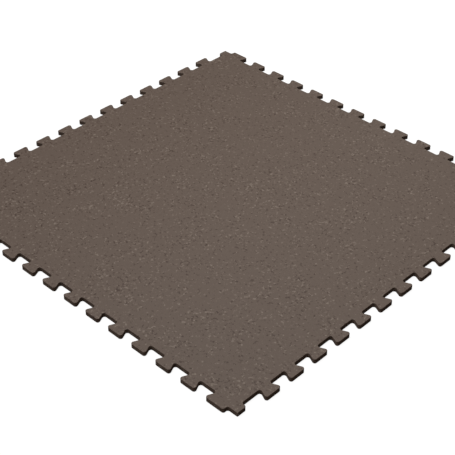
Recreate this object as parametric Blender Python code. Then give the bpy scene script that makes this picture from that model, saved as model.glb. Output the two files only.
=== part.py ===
"""Interlocking floor tile of flexible PVC, moulded in one piece. Metres, +Z up.

The tile lies flat with its underside at Z = 0 and its centre on the Z axis. One profile runs along each side
and is turned by quarter turns for the other three, so any side locks into any side of a like tile: where one
side has a tooth, the side that meets it from the other way has a recess.

A side is described by u, the way along it (anticlockwise seen from above), and d, the way out from the
nominal line, which passes halfway up the teeth and bounds the tile's square in a laid floor.
"""

from math import atan2, copysign, pi, tan

import bmesh
import bpy
from mathutils import Matrix, Vector

MM = 0.001

# Driving dimensions
MODULE = 500 * MM            # side of the square that one tile fills in a laid floor
THICKNESS = 5.5 * MM
REGULAR_TEETH = 12           # on each side, besides the wide tooth
CORNER_LAND = 13 * MM        # plain stretch on the nominal line at each end of a side
WIDE_TOOTH = 23 * MM         # the last tooth of a side, and the first recess, which takes it
TOOTH_DEPTH = 12.5 * MM      # from the floor of a recess to the tip of a tooth
FLANK_LEAN = 2.9 * MM        # how far a flank leans sideways between the nominal line and a tip
LAND_LEAN = 0.7 * MM         # the same for the steep flanks of the corner lands
TOOTH_RADIUS = 2.5 * MM      # in plan, at the corners of a tooth
RECESS_RADIUS = 2.5 * MM     # in plan, in the corners of a recess
JOINT_PLAY = 0.17 * MM       # each flank stands back this far, so two mating flanks lie twice this apart
RIM_ROUNDING = 0.45 * MM     # on the upper edge, all the way round
ARC_STEPS = 4                # straight pieces in each rounded corner of the outline

# Worked out from them
HALF_MODULE = MODULE / 2
HALF_DEPTH = TOOTH_DEPTH / 2
TOOTH_PITCH = (MODULE - 2 * CORNER_LAND - 2 * WIDE_TOOTH) / REGULAR_TEETH
TOOTH_WIDTH = TOOTH_PITCH / 2

# The PVC's colour, linear, between the base and its flecks
TAUPE = (0.138, 0.107, 0.088, 1.0)
PVC_ROUGHNESS = 0.62


def clear_scene():
    for obj in list(bpy.data.objects):
        bpy.data.objects.remove(obj, do_unlink=True)


def tooth(start, end):
    """The four corners (u, d, radius) of a dovetail tooth between two points of the nominal line."""
    return [
        (start + FLANK_LEAN, -HALF_DEPTH, RECESS_RADIUS),
        (start - FLANK_LEAN, HALF_DEPTH, TOOTH_RADIUS),
        (end + FLANK_LEAN, HALF_DEPTH, TOOTH_RADIUS),
        (end - FLANK_LEAN, -HALF_DEPTH, RECESS_RADIUS),
    ]


def side_corners():
    """The corners (u, d, radius) of one side, from its sharp first corner to just short of the next side's."""
    land_end = CORNER_LAND - JOINT_PLAY
    corners = [
        (0, 0, 0),
        (land_end, 0, TOOTH_RADIUS),
        (land_end - LAND_LEAN, -HALF_DEPTH, RECESS_RADIUS),
    ]
    first_tooth = CORNER_LAND + WIDE_TOOTH
    for number in range(REGULAR_TEETH):
        start = first_tooth + number * TOOTH_PITCH
        corners += tooth(start + JOINT_PLAY, start + TOOTH_WIDTH - JOINT_PLAY)
    wide_start = first_tooth + REGULAR_TEETH * TOOTH_PITCH + JOINT_PLAY
    wide_end = MODULE - CORNER_LAND - JOINT_PLAY
    corners += [
        (wide_start + FLANK_LEAN, -HALF_DEPTH, RECESS_RADIUS),
        (wide_start - FLANK_LEAN, HALF_DEPTH, TOOTH_RADIUS),
        (wide_end + LAND_LEAN, HALF_DEPTH, TOOTH_RADIUS),
        (wide_end, 0, RECESS_RADIUS),
    ]
    return corners


def outline_corners():
    """All the corners of the tile in plan as (point, radius), anticlockwise from the one at -X -Y."""
    corners = []
    for side in range(4):
        quarter_turns = Matrix.Rotation(side * pi / 2, 2)
        for u, d, radius in side_corners():
            corners.append((quarter_turns @ Vector((u - HALF_MODULE, -HALF_MODULE - d)), radius))
    return corners


def rounded(before, corner, after, radius):
    """The points of the arc that rounds a corner, or the corner itself where it is sharp."""
    if radius == 0:
        return [corner]
    arriving = (corner - before).normalized()
    leaving = (after - corner).normalized()
    turn = atan2(arriving.cross(leaving), arriving.dot(leaving))
    start = corner - arriving * radius * tan(abs(turn) / 2)
    centre = start + Vector((-arriving.y, arriving.x)) * copysign(radius, turn)
    return [
        centre + Matrix.Rotation(turn * step / ARC_STEPS, 2) @ (start - centre)
        for step in range(ARC_STEPS + 1)
    ]


def outline():
    corners = outline_corners()
    points = []
    for i, (corner, radius) in enumerate(corners):
        before = corners[i - 1][0]
        after = corners[(i + 1) % len(corners)][0]
        points += rounded(before, corner, after, radius)
    return points


def pvc_material():
    material = bpy.data.materials.new("moulded_taupe_pvc")
    material.use_nodes = True
    shader = material.node_tree.nodes["Principled BSDF"]
    shader.inputs["Base Color"].default_value = TAUPE
    shader.inputs["Roughness"].default_value = PVC_ROUGHNESS
    shader.inputs["Metallic"].default_value = 0.0
    material.diffuse_color = TAUPE
    return material


def floor_tile():
    """The outline raised to the tile's thickness, with its upper edge rounded."""
    tile = bmesh.new()
    underside = tile.faces.new([tile.verts.new((*point, 0)) for point in outline()])
    raised = bmesh.ops.extrude_face_region(tile, geom=[underside], use_keep_orig=True)["geom"]
    upper_points = [item for item in raised if isinstance(item, bmesh.types.BMVert)]
    bmesh.ops.translate(tile, verts=upper_points, vec=(0, 0, THICKNESS))
    upper_face = next(item for item in raised if isinstance(item, bmesh.types.BMFace))
    bmesh.ops.recalc_face_normals(tile, faces=tile.faces)
    bmesh.ops.bevel(
        tile,
        geom=list(upper_face.edges),
        offset=RIM_ROUNDING,
        offset_type="OFFSET",
        segments=1,
        profile=0.5,
        affect="EDGES",
        clamp_overlap=False,
    )
    mesh = bpy.data.meshes.new("floor_tile")
    tile.to_mesh(mesh)
    tile.free()
    mesh.materials.append(pvc_material())
    obj = bpy.data.objects.new("floor_tile", mesh)
    bpy.context.scene.collection.objects.link(obj)
    return obj


clear_scene()
floor_tile()
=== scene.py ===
"""The looks of an interlocking floor tile of flexible PVC, lying on a white floor in soft studio light.

The tile is one moulded sheet. Geometry Nodes draw its outline from a run of dovetail teeth that is repeated
along a side and turned to the other three, then give it its wall, its rounded upper edge and its two faces.
The nominal line of a side passes halfway up its teeth and bounds the square that a laid tile fills.
"""

from math import cos, pi, radians, sin

import bpy
from mathutils import Matrix, Vector


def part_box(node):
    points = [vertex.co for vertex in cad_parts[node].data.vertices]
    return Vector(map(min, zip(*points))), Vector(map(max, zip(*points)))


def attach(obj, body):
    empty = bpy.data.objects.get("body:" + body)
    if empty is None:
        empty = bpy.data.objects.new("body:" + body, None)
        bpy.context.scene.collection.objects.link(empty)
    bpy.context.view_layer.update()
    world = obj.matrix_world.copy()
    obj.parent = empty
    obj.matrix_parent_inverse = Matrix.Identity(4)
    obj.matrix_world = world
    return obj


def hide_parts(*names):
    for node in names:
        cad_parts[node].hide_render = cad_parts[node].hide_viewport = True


MM = 0.001

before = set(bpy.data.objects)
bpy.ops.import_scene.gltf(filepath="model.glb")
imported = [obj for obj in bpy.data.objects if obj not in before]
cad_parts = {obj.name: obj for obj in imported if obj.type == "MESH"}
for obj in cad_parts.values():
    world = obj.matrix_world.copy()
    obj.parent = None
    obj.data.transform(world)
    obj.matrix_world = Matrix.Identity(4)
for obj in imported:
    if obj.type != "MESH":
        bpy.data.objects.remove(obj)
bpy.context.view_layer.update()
LOW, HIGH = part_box("floor_tile")

# The tile's driving dimensions, worked out from the frame where it gives them
SIDES = 4
TOOTH_DEPTH = 12.5 * MM         # from the floor of a recess to the tip of a tooth
TILE_SIZES = {
    "Module": HIGH[0] - LOW[0] - TOOTH_DEPTH,
    "Thickness": HIGH[2] - LOW[2],
    "Teeth": 12,                # on each side, besides the wide tooth
    "Tooth Depth": TOOTH_DEPTH,
    "Corner Land": 13 * MM,     # plain stretch on the nominal line at each end of a side
    "Wide Tooth": 23 * MM,      # the last tooth of a side, and the first recess, which takes it
    "Flank Lean": 2.9 * MM,     # how far a flank leans sideways between the nominal line and a tip
    "Land Lean": 0.7 * MM,      # the same for the steep flanks of the corner lands
    "Play": 0.17 * MM,          # each flank stands back this far, so two mating flanks lie twice this apart
    "Plan Radius": 2.5 * MM,    # at the corners of teeth and recesses
    "Corner Radius": 1.0 * MM,  # at the tile's own corners
    "Rim Radius": 0.45 * MM,    # on the upper edge, all the way round
    "Rim Ring": 0.9 * MM,       # the width of the upper face that is made together with the wall
    "Arc Steps": 10,            # straight pieces in each rounded corner of the outline
    "Rim Steps": 4,             # the same for the upper edge
}
WELD = 0.002 * MM               # points nearer to each other than this become one
SHARP = radians(40)             # an edge where the faces turn by more than this is a crease

# The camera, found from the tile's outline in the photo
CAMERA_AZIMUTH = radians(46.35)
CAMERA_ELEVATION = radians(37.48)
CAMERA_ROLL = radians(0.511)
CAMERA_DISTANCE = 1326 * MM
CAMERA_AIM = Vector((-43.3, -37.5, 0)) * MM
SENSOR_MM = 36
LENS_MM = 90.7

# The light: a broad soft source high up towards +Y and a little towards -X, a softbox off to +X, which makes
# that side the lighter one, a smaller one low above the tile, which makes its middle lighter than its
# corners, and a weak warm fill from all round. Places and widths are in metres, powers in watts.
SUN_FROM = Vector((-0.32, 0.36, 0.88))
SUN_SPREAD = radians(50)
SUN_STRENGTH = 1.6
SIDE_BOX = {"place": Vector((1.3, 0.5, 1.1)), "width": 0.8, "power": 5.0, "tone": (1.0, 0.95, 0.88)}
TOP_BOX = {"place": Vector((0.05, 0.12, 0.75)), "width": 0.4, "power": 1.93, "tone": (1.0, 0.98, 0.95)}
AMBIENT_TONE = (0.16, 0.128, 0.107, 1.0)
FLOOR_RADIUS = 30
FLOOR_CORNERS = 64
FLOOR_GLOW = 0.92               # the part of the floor's white that it gives of itself
FLOOR_SHADE = 0.15              # the part that is reflected, which a shadow can take away


def linear(hex_code):
    """An sRGB hex colour as linear RGBA."""
    channels = []
    for place in (1, 3, 5):
        value = int(hex_code[place:place + 2], 16) / 255
        channels.append(value / 12.92 if value <= 0.04045 else ((value + 0.055) / 1.055) ** 2.4)
    return (*channels, 1.0)


def add(tree, kind, inputs=None, **settings):
    """Adds a node with its settings. An input is a value, a socket, or a node whose first output feeds it.

    An input goes by its name, or by its place where inputs share one name. The sockets that the settings
    switch off don't count.
    """
    node = tree.nodes.new(kind)
    for name, value in settings.items():
        setattr(node, name, value)
    in_use = [socket for socket in node.inputs if socket.enabled]
    for key, value in (inputs or {}).items():
        socket = in_use[key] if isinstance(key, int) else next(item for item in in_use if item.name == key)
        if isinstance(value, bpy.types.Node):
            value = next(output for output in value.outputs if output.enabled)
        if isinstance(value, bpy.types.NodeSocket):
            tree.links.new(value, socket)
        else:
            socket.default_value = value
    return node


# The tile's shape

# Places along a side, from the corner where it starts: name, first value, operation, second value
PLACES = [
    ("tip", "Tooth Depth", "MULTIPLY", -0.5),
    ("root", "Tooth Depth", "MULTIPLY", 0.5),
    ("corner", "Module", "MULTIPLY", -0.5),
    ("land end", "Corner Land", "SUBTRACT", "Play"),
    ("land root", "land end", "SUBTRACT", "Land Lean"),
    ("end zone", "Corner Land", "ADD", "Wide Tooth"),
    ("end zones", "end zone", "MULTIPLY", 2),
    ("toothed run", "Module", "SUBTRACT", "end zones"),
    ("pitch", "toothed run", "DIVIDE", "Teeth"),
    ("half pitch", "pitch", "DIVIDE", 2),
    ("start", "end zone", "ADD", "Play"),
    ("root start", "start", "ADD", "Flank Lean"),
    ("tip start", "start", "SUBTRACT", "Flank Lean"),
    ("next gap", "end zone", "ADD", "half pitch"),
    ("end", "next gap", "SUBTRACT", "Play"),
    ("root end", "end", "SUBTRACT", "Flank Lean"),
    ("tip end", "end", "ADD", "Flank Lean"),
    ("wide root start", "root start", "ADD", "toothed run"),
    ("wide tip start", "tip start", "ADD", "toothed run"),
    ("far land", "Module", "SUBTRACT", "Corner Land"),
    ("wide end", "far land", "SUBTRACT", "Play"),
    ("wide tip end", "wide end", "ADD", "Land Lean"),
    ("ring", "Rim Ring", "MULTIPLY", -1),
    ("rise", "Thickness", "MULTIPLY", -1),
    ("half thickness", "Thickness", "MULTIPLY", 0.5),
]


def named_places(tree, sizes):
    """The tree's inputs and the values worked out from them, by name."""
    places = {socket.name: socket for socket in sizes.outputs if socket.name}
    for name, first, operation, second in PLACES:
        values = {0: places.get(first, first), 1: places.get(second, second)}
        places[name] = add(tree, "ShaderNodeMath", values, operation=operation)
    return places


def corner_run(tree, corners, copies=1, step=0.0):
    """Points at the corners (x, y, radius) in turn, then at their copies, each a step further along X."""
    index = add(tree, "GeometryNodeInputIndex")
    turn = add(tree, "FunctionNodeIntegerMath", {0: index, 1: len(corners)}, operation="MODULO")
    copy = add(tree, "FunctionNodeIntegerMath", {0: index, 1: len(corners)}, operation="DIVIDE_FLOOR")
    corner = add(tree, "GeometryNodeIndexSwitch", {"Index": turn}, data_type="VECTOR")
    while len(corner.index_switch_items) < len(corners):
        corner.index_switch_items.new()
    for number, (x, y, radius) in enumerate(corners):
        place = add(tree, "ShaderNodeCombineXYZ", {"X": x, "Y": y, "Z": radius})
        tree.links.new(place.outputs[0], corner.inputs[str(number)])
    corner = add(tree, "ShaderNodeSeparateXYZ", {"Vector": corner})
    x = add(tree, "ShaderNodeMath", {0: copy, 1: step, 2: corner.outputs["X"]}, operation="MULTIPLY_ADD")
    place = add(tree, "ShaderNodeCombineXYZ", {"X": x, "Y": corner.outputs["Y"]})
    count = add(tree, "FunctionNodeIntegerMath", {0: copies, 1: len(corners)}, operation="MULTIPLY")
    points = {"Count": count, "Position": place, "Radius": corner.outputs["Z"]}
    return add(tree, "GeometryNodePoints", points)


def rounded_line(tree, points, steps, closed):
    """A polyline through the points, with each corner rounded to its point's own radius."""
    line = add(tree, "GeometryNodePointsToCurves", {"Points": points})
    line = add(tree, "GeometryNodeSetSplineCyclic", {"Geometry": line, "Cyclic": closed})
    radius = add(tree, "GeometryNodeInputRadius")
    rounding = {"Curve": line, "Radius": radius, "Count": steps}
    return add(tree, "GeometryNodeFilletCurve", rounding, mode="POLY")


def tile_outline(tree, at):
    """The outline in plan: the corners of one side, with those of the other sides by quarter turns."""
    radius = at["Plan Radius"]
    land = [
        (0.0, 0.0, at["Corner Radius"]),
        (at["land end"], 0.0, radius),
        (at["land root"], at["root"], radius),
    ]
    tooth = [
        (at["root start"], at["root"], radius),
        (at["tip start"], at["tip"], radius),
        (at["tip end"], at["tip"], radius),
        (at["root end"], at["root"], radius),
    ]
    wide_tooth = [
        (at["wide root start"], at["root"], radius),
        (at["wide tip start"], at["tip"], radius),
        (at["wide tip end"], at["tip"], radius),
        (at["wide end"], 0.0, radius),
    ]
    runs = [
        corner_run(tree, land),
        corner_run(tree, tooth, copies=at["Teeth"], step=at["pitch"]),
        corner_run(tree, wide_tooth),
    ]
    side = add(tree, "GeometryNodeJoinGeometry")
    for run in reversed(runs):    # what is linked last comes first in a join
        tree.links.new(run.outputs[0], side.inputs[0])
    corner = add(tree, "ShaderNodeCombineXYZ", {"X": at["corner"], "Y": at["corner"]})
    side = add(tree, "GeometryNodeTransform", {"Geometry": side, "Translation": corner})
    index = add(tree, "GeometryNodeInputIndex")
    angle = add(tree, "ShaderNodeMath", {0: index, 1: 2 * pi / SIDES}, operation="MULTIPLY")
    turn = add(tree, "ShaderNodeCombineXYZ", {"Z": angle})
    middle = add(tree, "GeometryNodePoints", {"Count": SIDES})
    turned = {"Points": middle, "Instance": side, "Rotation": turn}
    sides = add(tree, "GeometryNodeInstanceOnPoints", turned)
    corners = add(tree, "GeometryNodeRealizeInstances", {"Geometry": sides})
    return rounded_line(tree, corners, at["Arc Steps"], closed=True)


def tile_wall(tree, outline, at):
    """The wall round the outline, its rounded upper edge and a narrow ring of the upper face.

    The section's X goes outwards from the line that it follows, and its Y goes down.
    """
    section = [
        (0.0, 0.0, 0.0),
        (0.0, at["rise"], at["Rim Radius"]),
        (at["ring"], at["rise"], 0.0),
    ]
    section = rounded_line(tree, corner_run(tree, section), at["Rim Steps"], closed=False)
    path = add(tree, "GeometryNodeSetCurveNormal", {"Curve": outline}, mode="Z_UP")
    wall = add(tree, "GeometryNodeCurveToMesh", {"Curve": path, "Profile Curve": section})
    return add(tree, "GeometryNodeFlipFaces", {"Mesh": wall})


def upper_face(tree, wall, at):
    """The upper face, bounded by the wall's open upper edge."""
    neighbours = add(tree, "GeometryNodeInputMeshEdgeNeighbors")
    is_open = add(tree, "FunctionNodeCompare", {"A": neighbours, "B": 1}, data_type="INT", operation="EQUAL")
    place = add(tree, "ShaderNodeSeparateXYZ", {"Vector": add(tree, "GeometryNodeInputPosition")})
    heights = {"A": place.outputs["Z"], "B": at["half thickness"]}
    is_upper = add(tree, "FunctionNodeCompare", heights, operation="GREATER_THAN")
    both = add(tree, "FunctionNodeBooleanMath", {0: is_open, 1: is_upper}, operation="AND")
    edge = add(tree, "GeometryNodeMeshToCurve", {"Mesh": wall, "Selection": both})
    face = add(tree, "GeometryNodeFillCurve", {"Curve": edge}, mode="NGONS")
    lift = add(tree, "ShaderNodeCombineXYZ", {"Z": at["Thickness"]})
    return add(tree, "GeometryNodeTransform", {"Geometry": face, "Translation": lift})


def tile_tree():
    """Geometry Nodes that make the tile of its sizes and its material."""
    tree = bpy.data.node_groups.new("interlocking tile", "GeometryNodeTree")
    tree.interface.new_socket("Tile", in_out="OUTPUT", socket_type="NodeSocketGeometry")
    for name, size in TILE_SIZES.items():
        kind = "NodeSocketInt" if isinstance(size, int) else "NodeSocketFloat"
        tree.interface.new_socket(name, in_out="INPUT", socket_type=kind)
    tree.interface.new_socket("Material", in_out="INPUT", socket_type="NodeSocketMaterial")
    at = named_places(tree, add(tree, "NodeGroupInput"))
    outline = tile_outline(tree, at)
    wall = tile_wall(tree, outline, at)
    underside = add(tree, "GeometryNodeFillCurve", {"Curve": outline}, mode="NGONS")
    underside = add(tree, "GeometryNodeFlipFaces", {"Mesh": underside})
    tile = add(tree, "GeometryNodeJoinGeometry")
    for shape in (wall, upper_face(tree, wall, at), underside):
        tree.links.new(shape.outputs[0], tile.inputs[0])
    tile = add(tree, "GeometryNodeMergeByDistance", {"Geometry": tile, "Distance": WELD})
    smooth = {"Geometry": tile, "Shade Smooth": True}
    tile = add(tree, "GeometryNodeSetShadeSmooth", smooth, domain="FACE")
    angle = add(tree, "GeometryNodeInputMeshEdgeAngle")
    is_sharp = add(tree, "FunctionNodeCompare", {"A": angle, "B": SHARP}, operation="GREATER_THAN")
    sharp = {"Geometry": tile, "Selection": is_sharp, "Shade Smooth": False}
    tile = add(tree, "GeometryNodeSetShadeSmooth", sharp, domain="EDGE")
    tile = add(tree, "GeometryNodeRealizeInstances", {"Geometry": tile})
    tile = add(tree, "GeometryNodeSetMaterial", {"Geometry": tile, "Material": at["Material"]})
    add(tree, "NodeGroupOutput", {"Tile": tile})
    return tree


def link_object(name, data):
    obj = bpy.data.objects.new(name, data)
    bpy.context.scene.collection.objects.link(obj)
    return obj


def made_by_nodes(name, tree, values):
    """A plain mesh object of what the tree makes of the values, with no empty material slots."""
    maker = link_object(name + "_maker", bpy.data.meshes.new(name + "_maker"))
    nodes = maker.modifiers.new("nodes", "NODES")
    nodes.node_group = tree
    for socket in tree.interface.items_tree:
        if socket.in_out == "INPUT":
            nodes[socket.identifier] = values[socket.name]
    depsgraph = bpy.context.evaluated_depsgraph_get()
    mesh = bpy.data.meshes.new_from_object(maker.evaluated_get(depsgraph), depsgraph=depsgraph)
    mesh.name = name
    empty_slots = [number for number, material in enumerate(mesh.materials) if material is None]
    for number in reversed(empty_slots):
        mesh.materials.pop(index=number)
    maker.modifiers.remove(nodes)
    bpy.data.objects.remove(maker)
    return link_object(name, mesh)


# The materials

PVC_TONE = linear("#5e5047")
PVC_PALE = linear("#7c7066")
PVC_DARK = linear("#412f25")
PVC_ROUGHNESS = 0.62
PVC_IOR = 1.53
CHIP_SIZE = 3.2 * MM           # a cell of the noise that a chip rises out of, about three chips wide
CHIP_DETAIL = 2.0              # the finer noises laid over the first, which make the chips ragged
CHIP_RAGGEDNESS = 0.6
PALE_CHIPS = (0.595, 0.695)    # from where in the noise's spread a chip begins, and where it is full
DARK_CHIPS = (0.575, 0.685)
PALE_TURN = (0.6, 0.4, 0.2)    # the pattern lies askew in the sheet, so that no face cuts it evenly
DARK_TURN = (-0.5, 0.7, 1.9)
CROWD_SIZE = 22 * MM           # the patches in which chips of both kinds lie thicker or thinner
CROWD_DETAIL = 1.0
CROWD_SHARE = 0.09             # how far a patch lifts or lowers the chips' noise
GRAIN_SIZE = 0.8 * MM          # a mould's own grain is too fine to show, so it is drawn this coarse
GRAIN_DETAIL = 2.0
GRAIN_DEPTH = 0.15 * MM
STUDIO_WHITE = linear("#ffffff")


def chips(tree, place, crowding, turn, spread):
    """1 inside the ragged chips in the PVC, 0 between them. Crowding lets more or fewer of them in."""
    place = add(tree, "ShaderNodeMapping", {"Vector": place, "Rotation": turn})
    noise = {"Vector": place, "Scale": 1 / CHIP_SIZE, "Detail": CHIP_DETAIL, "Roughness": CHIP_RAGGEDNESS}
    noise = add(tree, "ShaderNodeTexNoise", noise)
    noise = add(tree, "ShaderNodeMath", {0: noise, 1: crowding}, operation="ADD")
    edge = {"Value": noise, "From Min": spread[0], "From Max": spread[1]}
    return add(tree, "ShaderNodeMapRange", edge)


def moulded_pvc():
    """Flexible PVC, moulded and coloured through. Taupe, with small pale and dark chips mixed into it, which
    crowd together in patches, and a matte skin that the mould's fine grain leaves, so it shows no clear
    reflection.
    """
    material = bpy.data.materials.new("moulded taupe PVC")
    material.use_nodes = True
    tree = material.node_tree
    tree.nodes.clear()
    place = add(tree, "ShaderNodeTexCoord").outputs["Object"]
    crowding = {"Vector": place, "Scale": 1 / CROWD_SIZE, "Detail": CROWD_DETAIL}
    crowding = add(tree, "ShaderNodeTexNoise", crowding)
    crowding = {"Value": crowding, "To Min": -CROWD_SHARE, "To Max": CROWD_SHARE}
    crowding = add(tree, "ShaderNodeMapRange", crowding)
    dark = chips(tree, place, crowding, DARK_TURN, DARK_CHIPS)
    pale = chips(tree, place, crowding, PALE_TURN, PALE_CHIPS)
    colour = {"Factor": dark, "A": PVC_TONE, "B": PVC_DARK}
    colour = add(tree, "ShaderNodeMix", colour, data_type="RGBA")
    colour = {"Factor": pale, "A": colour, "B": PVC_PALE}
    colour = add(tree, "ShaderNodeMix", colour, data_type="RGBA")
    grain = {"Vector": place, "Scale": 1 / GRAIN_SIZE, "Detail": GRAIN_DETAIL}
    grain = add(tree, "ShaderNodeTexNoise", grain)
    skin = add(tree, "ShaderNodeBump", {"Height": grain, "Distance": GRAIN_DEPTH})
    shader = {"Base Color": colour, "Roughness": PVC_ROUGHNESS, "IOR": PVC_IOR, "Normal": skin}
    shader = add(tree, "ShaderNodeBsdfPrincipled", shader)
    add(tree, "ShaderNodeOutputMaterial", {"Surface": shader})
    return material


def white_floor():
    """A matte plastic studio sheet lit from below, so bright and even that it shows as plain white."""
    material = bpy.data.materials.new("white studio sheet")
    material.use_nodes = True
    tree = material.node_tree
    tree.nodes.clear()
    shade = (FLOOR_SHADE, FLOOR_SHADE, FLOOR_SHADE, 1.0)
    sheet = {"Base Color": shade, "Roughness": 1.0, "Specular IOR Level": 0.0}
    sheet |= {"Emission Color": STUDIO_WHITE, "Emission Strength": FLOOR_GLOW}
    sheet = add(tree, "ShaderNodeBsdfPrincipled", sheet)
    add(tree, "ShaderNodeOutputMaterial", {"Surface": sheet})
    return material


# The scene

def floor_tile():
    """The whole tile, shown in the place of the frame's solid."""
    tile = made_by_nodes("moulded_tile", tile_tree(), TILE_SIZES | {"Material": moulded_pvc()})
    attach(tile, "root")
    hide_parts("floor_tile")


def studio_floor():
    """A wide round sheet. Its glow neither lights the tile nor shows in it, or the walls would turn pale."""
    bpy.ops.mesh.primitive_circle_add(vertices=FLOOR_CORNERS, radius=FLOOR_RADIUS, fill_type="NGON")
    floor = bpy.context.object
    floor.name = "studio_floor"
    floor.data.materials.append(white_floor())
    floor.visible_diffuse = False
    floor.visible_glossy = False


def softbox(name, place, width, power, tone):
    """A square light at its place, turned to the tile's middle."""
    box = link_object(name, bpy.data.lights.new(name, "AREA"))
    box.data.size = width
    box.data.energy = power
    box.data.color = tone
    box.location = place
    box.rotation_euler = place.to_track_quat("Z", "Y").to_euler()
    box.visible_camera = False


def studio_light():
    """The soft sun, the softboxes, and a world that looks white and fills the shadows, but isn't mirrored."""
    sun = link_object("studio_light", bpy.data.lights.new("studio_light", "SUN"))
    sun.data.energy = SUN_STRENGTH
    sun.data.angle = SUN_SPREAD
    sun.rotation_euler = SUN_FROM.to_track_quat("Z", "Y").to_euler()
    softbox("side_softbox", **SIDE_BOX)
    softbox("top_softbox", **TOP_BOX)
    world = bpy.data.worlds.new("white studio")
    bpy.context.scene.world = world
    world.use_nodes = True
    nodes = world.node_tree
    nodes.nodes.clear()
    path = add(nodes, "ShaderNodeLightPath")
    seen = {"Factor": path.outputs["Is Camera Ray"], "A": AMBIENT_TONE, "B": STUDIO_WHITE}
    seen = add(nodes, "ShaderNodeMix", seen, data_type="RGBA")
    backdrop = add(nodes, "ShaderNodeBackground", {"Color": seen})
    add(nodes, "ShaderNodeOutputWorld", {"Surface": backdrop})
    world.cycles_visibility.glossy = False
    bpy.context.scene.view_settings.view_transform = "Standard"


def camera():
    """The camera stands back from its aim, level at first, and is then rolled a little."""
    lens = link_object("camera", bpy.data.cameras.new("camera"))
    lens.data.sensor_width = SENSOR_MM
    lens.data.lens = LENS_MM
    back = Vector((
        -sin(CAMERA_AZIMUTH) * cos(CAMERA_ELEVATION),
        -cos(CAMERA_AZIMUTH) * cos(CAMERA_ELEVATION),
        sin(CAMERA_ELEVATION),
    ))
    stand = Matrix.Translation(CAMERA_AIM + back * CAMERA_DISTANCE)
    level = Matrix.Rotation(-CAMERA_AZIMUTH, 4, "Z") @ Matrix.Rotation(pi / 2 - CAMERA_ELEVATION, 4, "X")
    lens.matrix_world = stand @ level @ Matrix.Rotation(CAMERA_ROLL, 4, "Z")
    bpy.context.scene.camera = lens


floor_tile()
studio_floor()
studio_light()
camera()
